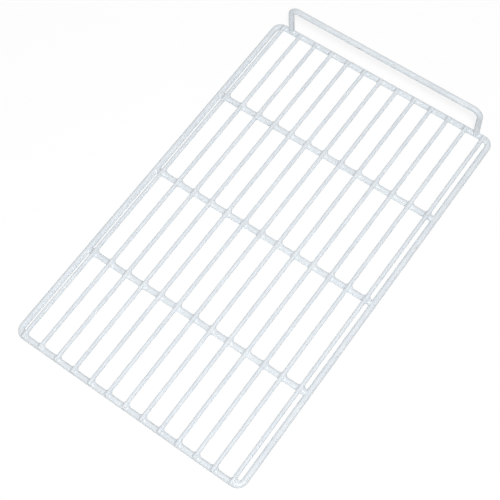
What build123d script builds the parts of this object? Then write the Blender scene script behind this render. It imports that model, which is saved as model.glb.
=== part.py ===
# Plastic-coated welded wire shelf for a refrigerator, with a raised stop along the rear edge.
# Millimetres, +Z up, +Y towards the rear stop, origin at the bottom centre of the shelf.
# The shelf is one rigid weldment: every wire below is a separate piece, welded where it meets another.
import os
from math import sqrt
from build123d import *

# Overall size of the shelf, measured over the coating.
overall_width = 325.0
overall_depth = 530.0

# Bare steel wires, and the thickness of the plastic that covers them all after welding.
heavy_steel_diameter = 6.0
light_steel_diameter = 3.5
coating = 0.75

# Rim: one heavy wire bent to a closed rectangle. The bend radius is to the wire's centre line.
rim_bend_radius = 10.0

# Cross wires: heavy wires in the plane of the rim, butted against the inside of its two long sides.
# The first and the last stand this far from the ends of the rim, and the rest are spread between them.
cross_count = 3
cross_end_bay = 129.25

# Long wires: light wires that run from front to rear on top of the rim and the cross wires.
# The outermost two stand this far from the sides of the rim, and the rest are spread between them.
# The insets run from the front and rear faces of the shelf to the ends of the wires.
long_count = 13
long_side_bay = 10.25
long_front_inset = 0.7
long_rear_inset = 3.0

# Welding presses a long wire this far into the heavy wires below it.
# It lies there on a flat seat, with this play at each end.
weld_set_down = 0.7
seat_play = 0.2

# Rear stop: one heavy wire bent to a low arch that stands on the rear side of the rim.
# The inset runs from the side of the rim to a leg, and the rise from the rim to the top of the arch.
stop_leg_inset = 21.0
stop_rise = 49.0
stop_bend_radius = 11.5

# Radii over the coating.
heavy_radius = heavy_steel_diameter / 2 + coating
light_radius = light_steel_diameter / 2 + coating

# The wires are welded before they are coated. Steel therefore meets steel where two of them cross,
# and their coatings share the room in between.
steel_lap = (heavy_steel_diameter + light_steel_diameter) / 2 - weld_set_down
butt_reach = heavy_steel_diameter / 2

# Centre lines of the wires. The bays, and the inset and rise of the stop, are measured between them.
side_x = overall_width / 2 - heavy_radius
end_y = overall_depth / 2 - heavy_radius
rim_z = heavy_radius
long_z = rim_z + steel_lap
stop_x = side_x - stop_leg_inset
stop_z = rim_z + stop_rise


def wire_along(path, radius):
    """Return a solid round wire whose centre line is the given path."""
    start = Plane(origin=path @ 0, z_dir=path % 0)
    return sweep(start * Circle(radius), path=path)


def spread(count, reach):
    """Return evenly spaced places from -reach to +reach."""
    return [reach * (2 * i / (count - 1) - 1) for i in range(count)]


# Rim.
rim_outline = Pos(0, 0, rim_z) * RectangleRounded(2 * side_x, 2 * end_y, rim_bend_radius)
rim = wire_along(rim_outline.wire(), heavy_radius)

# Cross wires. Each end is hollowed to sit against the round side of the rim.
cross_length = 2 * (side_x - butt_reach)
cross_places = spread(cross_count, end_y - cross_end_bay)
cross_wires = []
for y in cross_places:
    bar = Pos(0, y, rim_z) * Rot(0, 90, 0) * Cylinder(heavy_radius, cross_length)
    cross_wires.append(bar - rim)

# Long wires. Each is pressed flat underneath where it lies on the rim or on a cross wire.
seat_depth = heavy_radius + light_radius - steel_lap
seat_half = sqrt(heavy_radius**2 - (heavy_radius - seat_depth) ** 2) + seat_play
seat_z = rim_z + heavy_radius
seat = Pos(0, 0, seat_z - seat_depth) * Box(3 * light_radius, 2 * seat_half, 2 * seat_depth)
long_length = overall_depth - long_front_inset - long_rear_inset
long_middle = (long_front_inset - long_rear_inset) / 2
long_wires = []
for x in spread(long_count, side_x - long_side_bay):
    bar = Pos(x, long_middle, long_z) * Rot(90, 0, 0) * Cylinder(light_radius, long_length)
    for y in [-end_y, *cross_places, end_y]:
        bar = bar - Pos(x, y, 0) * seat
    long_wires.append(bar)

# Rear stop. Its feet are hollowed to sit on the round top of the rim's rear side.
foot_z = rim_z + butt_reach
stop_corners = [
    (-stop_x, end_y, foot_z),
    (-stop_x, end_y, stop_z),
    (stop_x, end_y, stop_z),
    (stop_x, end_y, foot_z),
]
stop_path = FilletPolyline(*stop_corners, radius=stop_bend_radius)
rear_stop = wire_along(stop_path.wire(), heavy_radius) - rim

# Files, one for each wire.
os.makedirs("parts", exist_ok=True)
export_step(rim, "parts/rim.step")
export_step(rear_stop, "parts/rear_stop.step")
for i, bar in enumerate(cross_wires, start=1):
    export_step(bar, f"parts/cross_wire_{i}.step")
for i, bar in enumerate(long_wires, start=1):
    export_step(bar, f"parts/long_wire_{i:02d}.step")
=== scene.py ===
"""Looks of a white plastic-coated wire shelf for a refrigerator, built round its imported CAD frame."""
import math

import bpy
import numpy as np
from mathutils import Matrix, Vector


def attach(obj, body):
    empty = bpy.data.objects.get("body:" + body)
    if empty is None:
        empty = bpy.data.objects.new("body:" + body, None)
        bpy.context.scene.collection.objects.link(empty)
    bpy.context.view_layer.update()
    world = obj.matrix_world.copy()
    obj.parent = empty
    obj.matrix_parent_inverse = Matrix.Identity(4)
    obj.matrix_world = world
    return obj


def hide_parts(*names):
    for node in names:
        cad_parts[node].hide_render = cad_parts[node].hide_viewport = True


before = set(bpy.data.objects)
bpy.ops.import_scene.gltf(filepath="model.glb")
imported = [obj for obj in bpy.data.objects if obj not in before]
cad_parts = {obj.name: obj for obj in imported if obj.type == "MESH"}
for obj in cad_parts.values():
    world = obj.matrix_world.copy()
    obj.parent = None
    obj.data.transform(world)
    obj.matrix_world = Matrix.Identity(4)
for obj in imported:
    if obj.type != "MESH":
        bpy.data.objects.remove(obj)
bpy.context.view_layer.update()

MM = 0.001

# Sizes of the coated wires, as in the CAD, in millimetres.
HEAVY = 3.75
LIGHT = 2.5
SIDE_X = 158.75
END_Y = 261.25
RIM_Z = 3.75
RIM_BEND = 10.0
CROSS_Y = (-132.0, 0.0, 132.0)
LONG_X = [148.5 * (i / 6 - 1) for i in range(13)]
LONG_Z = 7.8
LONG_FRONT = -264.3
LONG_REAR = 262.0
STOP_X = 137.75
STOP_Z = 52.75
STOP_BEND = 11.5

# Skin of a wire: its mesh, its rounded ends and the uneven thickness of the coating.
# Each wave of the unevenness has a length along the wire and a number of turns round it.
HEAVY_SIDES = 36
LIGHT_SIDES = 28
STATION = 5.0
BEND_STEPS = 14
END_ROUND = 1.2
END_STEPS = 6
END_ARC = 0.47 * math.pi
UNEVENNESS = 0.05
UNEVEN_WAVES = ((97, 1), (61, 2), (38, 1), (23, 3))
SEAM_FADE = 40
SHARP_ANGLE = math.radians(55)

# Fillets of coating in the corners of the welds: ball radii, how far the edges sink into the wires,
# how far the back lies behind the arc, the mesh, with its sweep in degrees to each side,
# and the search for the ball's place.
CROSSING_FILLET = 3.8
CUT_END_FILLET = 1.5
BUTT_FILLET = 2.2
FILLET_SUNK = 0.06
FILLET_DEPTH = 1.5
FILLET_STATIONS = 44
FILLET_STEPS = 7
BUTT_SWEEP = 80
BUTT_STATIONS = 25
SEARCH_STEPS = 40
LEAST_SINE = 0.35

# Coating: darkest and lightest tint, roughness range, and the noise scales of tint, gloss, waves and peel.
TINT_DARK = (0.735, 0.785, 0.825, 1)
TINT_LIGHT = (0.785, 0.830, 0.862, 1)
ROUGHNESS_LOW = 0.30
ROUGHNESS_HIGH = 0.42
TINT_SCALE = 45
GLOSS_SCALE = 160
WAVE_SCALE = 140
PEEL_SCALE = 900

rng = np.random.default_rng(7)


def add_piece(name, points, faces):
    """Make a mesh piece from points in millimetres, on the one body of the shelf."""
    mesh = bpy.data.meshes.new(name)
    mesh.from_pydata((np.asarray(points) * MM).tolist(), [], faces)
    mesh.update()
    mesh.shade_smooth()
    mesh.set_sharp_from_angle(angle=SHARP_ANGLE)
    piece = bpy.data.objects.new(name, mesh)
    bpy.context.scene.collection.objects.link(piece)
    mesh.materials.append(coating)
    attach(piece, "root")
    return piece


def coating_material():
    """White plastic coating: a little uneven in colour and gloss, with a faint orange peel."""
    material = bpy.data.materials.new("white_coating_plastic")
    material.use_nodes = True
    nodes, links = material.node_tree.nodes, material.node_tree.links
    shader = nodes["Principled BSDF"]
    shader.inputs["IOR"].default_value = 1.5
    shader.inputs["Coat Weight"].default_value = 0.12
    shader.inputs["Coat Roughness"].default_value = 0.12
    place = nodes.new("ShaderNodeTexCoord")

    def noise(scale, detail):
        texture = nodes.new("ShaderNodeTexNoise")
        texture.inputs["Scale"].default_value = scale
        texture.inputs["Detail"].default_value = detail
        links.new(place.outputs["Object"], texture.inputs["Vector"])
        return texture.outputs["Fac"]

    tint = nodes.new("ShaderNodeValToRGB")
    tint.color_ramp.elements[0].position = 0.35
    tint.color_ramp.elements[0].color = TINT_DARK
    tint.color_ramp.elements[1].position = 0.65
    tint.color_ramp.elements[1].color = TINT_LIGHT
    links.new(noise(TINT_SCALE, 4), tint.inputs["Fac"])
    links.new(tint.outputs["Color"], shader.inputs["Base Color"])

    gloss = nodes.new("ShaderNodeMapRange")
    gloss.inputs["From Min"].default_value = 0.3
    gloss.inputs["From Max"].default_value = 0.7
    gloss.inputs["To Min"].default_value = ROUGHNESS_LOW
    gloss.inputs["To Max"].default_value = ROUGHNESS_HIGH
    links.new(noise(GLOSS_SCALE, 3), gloss.inputs["Value"])
    links.new(gloss.outputs["Result"], shader.inputs["Roughness"])

    waves = nodes.new("ShaderNodeBump")
    waves.inputs["Strength"].default_value = 0.25
    waves.inputs["Distance"].default_value = 0.0002
    links.new(noise(WAVE_SCALE, 1), waves.inputs["Height"])
    peel = nodes.new("ShaderNodeBump")
    peel.inputs["Strength"].default_value = 0.12
    peel.inputs["Distance"].default_value = 0.00006
    links.new(noise(PEEL_SCALE, 2), peel.inputs["Height"])
    links.new(waves.outputs["Normal"], peel.inputs["Normal"])
    links.new(peel.outputs["Normal"], shader.inputs["Normal"])
    return material


def shortfall(lengths, sides):
    """How far the coating falls short of its full thickness along and round one wire, in millimetres."""
    round_it = np.linspace(0, 2 * math.pi, sides, endpoint=False)
    total = np.zeros((len(lengths), sides))
    for wave_length, turns in UNEVEN_WAVES:
        phase, twist = rng.uniform(0, 2 * math.pi, 2)
        along = 2 * math.pi * np.asarray(lengths)[:, None] / wave_length + phase
        total += np.sin(along) * np.cos(turns * round_it + twist)[None, :]
    return UNEVENNESS * (0.5 + total / 8)


def skin(name, centres, across, upward, radii, closed):
    """Make a wire: a ring of points round each centre, spanned by two directions, joined along the wire."""
    stations, sides = radii.shape
    turn = np.linspace(0, 2 * math.pi, sides, endpoint=False)
    rays = np.cos(turn)[None, :, None] * across[:, None, :] + np.sin(turn)[None, :, None] * upward[:, None, :]
    points = (centres[:, None, :] + radii[:, :, None] * rays).reshape(-1, 3)
    faces = []
    for i in range(stations if closed else stations - 1):
        near, far = i * sides, (i + 1) % stations * sides
        for k in range(sides):
            n = (k + 1) % sides
            faces.append((near + k, near + n, far + n, far + k))
    if not closed:
        last = (stations - 1) * sides
        faces.append(tuple(reversed(range(sides))))
        faces.append(tuple(range(last, last + sides)))
    return add_piece(name, points, faces)


def straight_wire(name, start, direction, length, across, radius, sides, end_round):
    """Make a straight wire, with its two ends rounded or left plain."""
    inner = length - 2 * end_round
    body = np.linspace(end_round, length - end_round, max(2, round(inner / STATION)) + 1)
    drop = np.zeros(len(body))
    if end_round:
        bow = np.linspace(0, END_ARC, END_STEPS + 1)[1:]
        cap = end_round * (1 - np.sin(bow))[::-1]
        cap_drop = end_round * (1 - np.cos(bow))[::-1]
        body = np.concatenate([cap, body, length - cap[::-1]])
        drop = np.concatenate([cap_drop, drop, cap_drop[::-1]])
    direction, across = np.asarray(direction, float), np.asarray(across, float)
    upward = np.cross(direction, across)
    centres = np.asarray(start, float) + body[:, None] * direction
    radii = radius - drop[:, None] - shortfall(body, sides)
    many = (len(body), 1)
    return skin(name, centres, np.tile(across, many), np.tile(upward, many), radii, closed=False)


def bent_run(corners, bend, closed):
    """Points about a station apart on a path with rounded corners, and the directions along it."""
    corners = [np.asarray(c, float) for c in corners]
    count = len(corners)
    points, ways, arcs = [], [], []
    for i in range(count):
        if not closed and i in (0, count - 1):
            continue
        before, here, after = corners[i - 1], corners[i], corners[(i + 1) % count]
        arriving = (here - before) / np.linalg.norm(here - before)
        leaving = (after - here) / np.linalg.norm(after - here)
        middle = here - bend * arriving + bend * leaving
        turn = np.linspace(0, math.pi / 2, BEND_STEPS + 1)[:, None]
        arc = middle - bend * leaving * np.cos(turn) + bend * arriving * np.sin(turn)
        arc_ways = arriving * np.cos(turn) + leaving * np.sin(turn)
        arcs.append((arc, arc_ways))
    joints = len(arcs) if closed else len(arcs) + 1
    for i in range(joints):
        start = arcs[i - 1][0][-1] if (closed or i > 0) else corners[0]
        stop = arcs[i][0][0] if (closed or i < len(arcs)) else corners[-1]
        steps = max(2, round(np.linalg.norm(stop - start) / STATION))
        share = np.linspace(0, 1, steps + 1)[:, None]
        run = start + (stop - start) * share
        way = (stop - start) / np.linalg.norm(stop - start)
        first = 0 if (not closed and i == 0) else 1
        last = steps + 1 if (not closed and i == joints - 1) else steps
        points.append(run[first:last])
        ways.append(np.tile(way, (last - first, 1)))
        if closed or i < len(arcs):
            points.append(arcs[i][0])
            ways.append(arcs[i][1])
    return np.concatenate(points), np.concatenate(ways)


def bent_wire(name, corners, bend, normal, radius, sides, closed):
    """Make a wire bent in one plane, given the plane's normal."""
    centres, ways = bent_run(corners, bend, closed)
    steps = np.linalg.norm(np.diff(centres, axis=0), axis=1)
    lengths = np.concatenate([[0], np.cumsum(steps)])
    across = np.tile(np.asarray(normal, float), (len(centres), 1))
    upward = np.cross(ways, across)
    fade = np.ones(len(centres))
    if closed:
        fade = np.clip(np.minimum(lengths, lengths[-1] - lengths) / SEAM_FADE, 0, 1)
    radii = radius - shortfall(lengths, sides) * fade[:, None]
    return skin(name, centres, across, upward, radii, closed)


def fillet_section(centre, to_first, to_second, ball):
    """One cross-section of a fillet: the arc of a ball between two wires, and a hidden point behind it."""
    angle = math.acos(float(np.clip(to_first @ to_second, -1, 1)))
    points = []
    for k in range(FILLET_STEPS + 1):
        share = k / FILLET_STEPS
        first_part, second_part = math.sin((1 - share) * angle), math.sin(share * angle)
        ray = (first_part * to_first + second_part * to_second) / math.sin(angle)
        reach = ball + (FILLET_SUNK if k in (0, FILLET_STEPS) else 0)
        points.append(centre + reach * ray)
    inward = (to_first + to_second) / np.linalg.norm(to_first + to_second)
    points.append(centre + (ball + FILLET_DEPTH) * inward)
    return points


def sections_to_mesh(sections, closed, points, faces):
    """Join fillet sections into a closed skin and add it to the lists."""
    base, count, size = len(points), len(sections), len(sections[0])
    for section in sections:
        points.extend(section)
    for i in range(count if closed else count - 1):
        near, far = base + i * size, base + (i + 1) % count * size
        for k in range(size):
            n = (k + 1) % size
            faces.append((near + k, near + n, far + n, far + k))
    if not closed:
        last = base + (count - 1) * size
        faces.append(tuple(reversed(range(base, base + size))))
        faces.append(tuple(range(last, last + size)))


def rim_foot(x, y):
    """Nearest point to (x, y) on the rim's centre line, for places near its ends."""
    inner_x, inner_y = SIDE_X - RIM_BEND, END_Y - RIM_BEND
    if abs(x) <= inner_x:
        return np.array([x, math.copysign(END_Y, y), RIM_Z])
    away = np.array([abs(x) - inner_x, abs(y) - inner_y])
    away *= RIM_BEND / np.linalg.norm(away)
    return np.array([math.copysign(inner_x + away[0], x), math.copysign(inner_y + away[1], y), RIM_Z])


def off_long_wire(point, x):
    """Distance of a point from the skin of the long wire at x, and the direction away from it."""
    radial = np.array([point[0] - x, 0, point[2] - LONG_Z])
    radius = max(np.linalg.norm(radial), 1e-9)
    round_over = max(radius - (LIGHT - END_ROUND), 0)
    end_over = max(point[1] - LONG_REAR, LONG_FRONT - point[1]) + END_ROUND
    end_over = math.copysign(max(end_over, 0), point[1])
    over = math.hypot(round_over, end_over)
    if over == 0:
        return -END_ROUND, radial / radius
    away = round_over * radial / radius + np.array([0, end_over, 0])
    return over - END_ROUND, away / over


def crossing_fillet(x, y, foot_of, cut_end, points, faces):
    """Add the coating's fillet all round the place where a long wire lies on a heavy one.

    It narrows towards the wire's cut end, given as the end's sign along Y, or 0 where the wire runs on.
    """
    sections = []
    for turn in np.linspace(0, -2 * math.pi, FILLET_STATIONS, endpoint=False):
        outward = max(cut_end * math.sin(turn), 0)
        ball = CROSSING_FILLET + (CUT_END_FILLET - CROSSING_FILLET) * outward**0.5
        reach = HEAVY + ball
        low, high = 0.0, reach / max(abs(math.sin(turn)), LEAST_SINE)
        for _ in range(SEARCH_STEPS):
            middle = (low + high) / 2
            at_x, at_y = x + middle * math.cos(turn), y + middle * math.sin(turn)
            foot = foot_of(at_x, at_y)
            off_bar = math.hypot(at_x - foot[0], at_y - foot[1])
            centre = np.array([at_x, at_y, RIM_Z + math.sqrt(max(reach**2 - off_bar**2, 0))])
            gap, away = off_long_wire(centre, x)
            if gap > ball:
                high = middle
            else:
                low = middle
        to_bar = (foot - centre) / np.linalg.norm(foot - centre)
        sections.append(fillet_section(centre, to_bar, -away, ball))
    sections_to_mesh(sections, True, points, faces)


def butt_fillets(place, along_bar, along_wire, points, faces):
    """Add the two fillets in the corners where a heavy wire's end meets the side of another."""
    ball, reach = BUTT_FILLET, HEAVY + BUTT_FILLET
    place, along_wire = np.asarray(place, float), np.asarray(along_wire, float)
    for side in (1, -1):
        along_bar_side = side * np.asarray(along_bar, float)
        third = np.cross(along_bar_side, along_wire)
        sections = []
        for turn in np.radians(np.linspace(-BUTT_SWEEP, BUTT_SWEEP, BUTT_STATIONS)):
            over, beside = math.cos(turn), math.sin(turn) * third
            to_bar, to_wire = over * along_wire + beside, over * along_bar_side + beside
            centre = place + reach * (over * along_wire + to_wire)
            sections.append(fillet_section(centre, -to_bar, -to_wire, ball))
        sections_to_mesh(sections, False, points, faces)


coating = coating_material()

# Rim.
rim_corners = [
    (SIDE_X, -END_Y, RIM_Z),
    (SIDE_X, END_Y, RIM_Z),
    (-SIDE_X, END_Y, RIM_Z),
    (-SIDE_X, -END_Y, RIM_Z),
]
rim = bent_wire("rim_coating", rim_corners, RIM_BEND, (0, 0, 1), HEAVY, HEAVY_SIDES, closed=True)
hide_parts("rim")

# Cross wires.
for i, y in enumerate(CROSS_Y, start=1):
    cross = straight_wire(f"cross_wire_{i}_coating", (-SIDE_X, y, RIM_Z), (1, 0, 0), 2 * SIDE_X,
                          (0, 1, 0), HEAVY, HEAVY_SIDES, 0)
    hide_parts(f"cross_wire_{i}")

# Long wires.
for i, x in enumerate(LONG_X, start=1):
    long_wire = straight_wire(f"long_wire_{i:02d}_coating", (x, LONG_FRONT, LONG_Z), (0, 1, 0),
                              LONG_REAR - LONG_FRONT, (1, 0, 0), LIGHT, LIGHT_SIDES, END_ROUND)
    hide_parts(f"long_wire_{i:02d}")

# Rear stop.
stop_corners = [
    (-STOP_X, END_Y, RIM_Z),
    (-STOP_X, END_Y, STOP_Z),
    (STOP_X, END_Y, STOP_Z),
    (STOP_X, END_Y, RIM_Z),
]
stop = bent_wire("rear_stop_coating", stop_corners, STOP_BEND, (0, 1, 0), HEAVY, HEAVY_SIDES, closed=False)
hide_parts("rear_stop")

# Coating in the corners of the welds.
for name, y in (("front", -END_Y), ("rear", END_Y)):
    points, faces = [], []
    for x in LONG_X:
        crossing_fillet(x, y, rim_foot, math.copysign(1, y), points, faces)
    add_piece(f"weld_coating_{name}", points, faces)
for i, y in enumerate(CROSS_Y, start=1):
    points, faces = [], []
    for x in LONG_X:
        crossing_fillet(x, y, lambda at_x, at_y, bar_y=y: np.array([at_x, bar_y, RIM_Z]), 0, points, faces)
    for side in (1, -1):
        butt_fillets((side * SIDE_X, y, RIM_Z), (0, 1, 0), (-side, 0, 0), points, faces)
    add_piece(f"weld_coating_cross_{i}", points, faces)
points, faces = [], []
for side in (1, -1):
    butt_fillets((side * STOP_X, END_Y, RIM_Z), (1, 0, 0), (0, 0, 1), points, faces)
add_piece("weld_coating_stop", points, faces)


# Camera, fitted to the photograph's view.
CAMERA_PLACE = Vector((0.40287, -0.47754, 1.25277))
CAMERA_TURN = math.radians(41.5284)
CAMERA_DIP = math.radians(64.1131)
CAMERA_ROLL = math.radians(-6.3185)
CAMERA_LENS = 84.552
CAMERA_SENSOR = 36

forward = Vector((-math.sin(CAMERA_TURN) * math.cos(CAMERA_DIP), math.cos(CAMERA_TURN) * math.cos(CAMERA_DIP),
                  -math.sin(CAMERA_DIP)))
level = Vector((math.cos(CAMERA_TURN), math.sin(CAMERA_TURN), 0))
overhead = level.cross(forward)
right = math.cos(CAMERA_ROLL) * level + math.sin(CAMERA_ROLL) * overhead
top = math.cos(CAMERA_ROLL) * overhead - math.sin(CAMERA_ROLL) * level
camera = bpy.data.objects.new("camera", bpy.data.cameras.new("camera"))
camera.data.lens = CAMERA_LENS
camera.data.sensor_width = CAMERA_SENSOR
camera.data.clip_start = 0.01
camera.data.clip_end = 50
axes = Matrix((right, top, -forward)).transposed().to_4x4()
camera.matrix_world = Matrix.Translation(CAMERA_PLACE) @ axes
bpy.context.scene.collection.objects.link(camera)
bpy.context.scene.camera = camera


def seen_directly(nodes, links):
    """A value of 1 for rays that show a surface to the eye, straight or by reflection, and 0 for others."""
    path = nodes.new("ShaderNodeLightPath")
    total = path.outputs["Is Camera Ray"]
    for name in ("Is Glossy Ray", "Is Transmission Ray"):
        both = nodes.new("ShaderNodeMath")
        both.operation = "MAXIMUM"
        links.new(total, both.inputs[0])
        links.new(path.outputs[name], both.inputs[1])
        total = both.outputs["Value"]
    return total


# Floor: pale wherever it is seen. A white card under the shelf throws more light back than the rest of it.
# The stages give name, half width, half depth, height and share of light thrown back.
FLOOR_SHADE = 0.18
FLOOR_GLOW = 0.83
STAGES = (
    ("floor", 4.0, 4.0, -2e-4, 0.5),
    ("card", 0.157, 0.259, -1e-4, 0.92),
)


def pale_floor(name, bounce_share):
    """Floor material with the given share of light thrown back on the shelf."""
    material = bpy.data.materials.new(name)
    material.use_nodes = True
    nodes, links = material.node_tree.nodes, material.node_tree.links
    nodes.clear()
    output = nodes.new("ShaderNodeOutputMaterial")
    bounce = nodes.new("ShaderNodeBsdfDiffuse")
    bounce.inputs["Color"].default_value = (bounce_share, bounce_share, bounce_share, 1)
    shaded = nodes.new("ShaderNodeBsdfDiffuse")
    shaded.inputs["Color"].default_value = (FLOOR_SHADE, FLOOR_SHADE, FLOOR_SHADE, 1)
    glow = nodes.new("ShaderNodeEmission")
    glow.inputs["Strength"].default_value = FLOOR_GLOW
    shown = nodes.new("ShaderNodeAddShader")
    links.new(shaded.outputs["BSDF"], shown.inputs[0])
    links.new(glow.outputs["Emission"], shown.inputs[1])
    mixed = nodes.new("ShaderNodeMixShader")
    links.new(seen_directly(nodes, links), mixed.inputs["Fac"])
    links.new(bounce.outputs["BSDF"], mixed.inputs[1])
    links.new(shown.outputs["Shader"], mixed.inputs[2])
    links.new(mixed.outputs["Shader"], output.inputs["Surface"])
    return material


for name, half_x, half_y, z, bounce_share in STAGES:
    floor_mesh = bpy.data.meshes.new(name)
    corners = [(-half_x, -half_y, z), (half_x, -half_y, z), (half_x, half_y, z), (-half_x, half_y, z)]
    floor_mesh.from_pydata(corners, [], [(0, 1, 2, 3)])
    floor_mesh.materials.append(pale_floor(name, bounce_share))
    floor = bpy.data.objects.new(name, floor_mesh)
    bpy.context.scene.collection.objects.link(floor)

# Light: a dim, even room that looks pale where it is seen, a soft lamp high up on the camera's side,
# and a weak sun from the other side.
ROOM_LIGHT = 0.32
ROOM_SEEN = 0.91
KEY_PLACE = (0.88, -0.98, 2.62)
KEY_WATTS = 24.5
KEY_SIZE = 0.5
KEY_SPREAD = math.radians(120)
FILL_PLACE = (-1.2, 1.8, 2.0)
FILL_STRENGTH = 0.16
FILL_ANGLE = math.radians(40)

world = bpy.data.worlds.new("room")
bpy.context.scene.world = world
world.use_nodes = True
nodes, links = world.node_tree.nodes, world.node_tree.links
background = nodes["Background"]
background.inputs["Color"].default_value = (1.0, 1.0, 1.0, 1)
room = nodes.new("ShaderNodeMapRange")
room.inputs["To Min"].default_value = ROOM_LIGHT
room.inputs["To Max"].default_value = ROOM_SEEN
links.new(seen_directly(nodes, links), room.inputs["Value"])
links.new(room.outputs["Result"], background.inputs["Strength"])


def add_lamp(name, kind, place, strength):
    """Add a lamp that shines from the given place towards the middle of the shelf."""
    lamp = bpy.data.objects.new(name, bpy.data.lights.new(name, kind))
    lamp.data.energy = strength
    lamp.location = place
    lamp.rotation_mode = "QUATERNION"
    lamp.rotation_quaternion = lamp.location.to_track_quat("Z", "Y")
    bpy.context.scene.collection.objects.link(lamp)
    return lamp


key = add_lamp("key_lamp", "AREA", KEY_PLACE, KEY_WATTS)
key.data.shape = "SQUARE"
key.data.size = KEY_SIZE
key.data.spread = KEY_SPREAD
fill = add_lamp("fill_lamp", "SUN", FILL_PLACE, FILL_STRENGTH)
fill.data.angle = FILL_ANGLE

bpy.context.scene.view_settings.view_transform = "Standard"
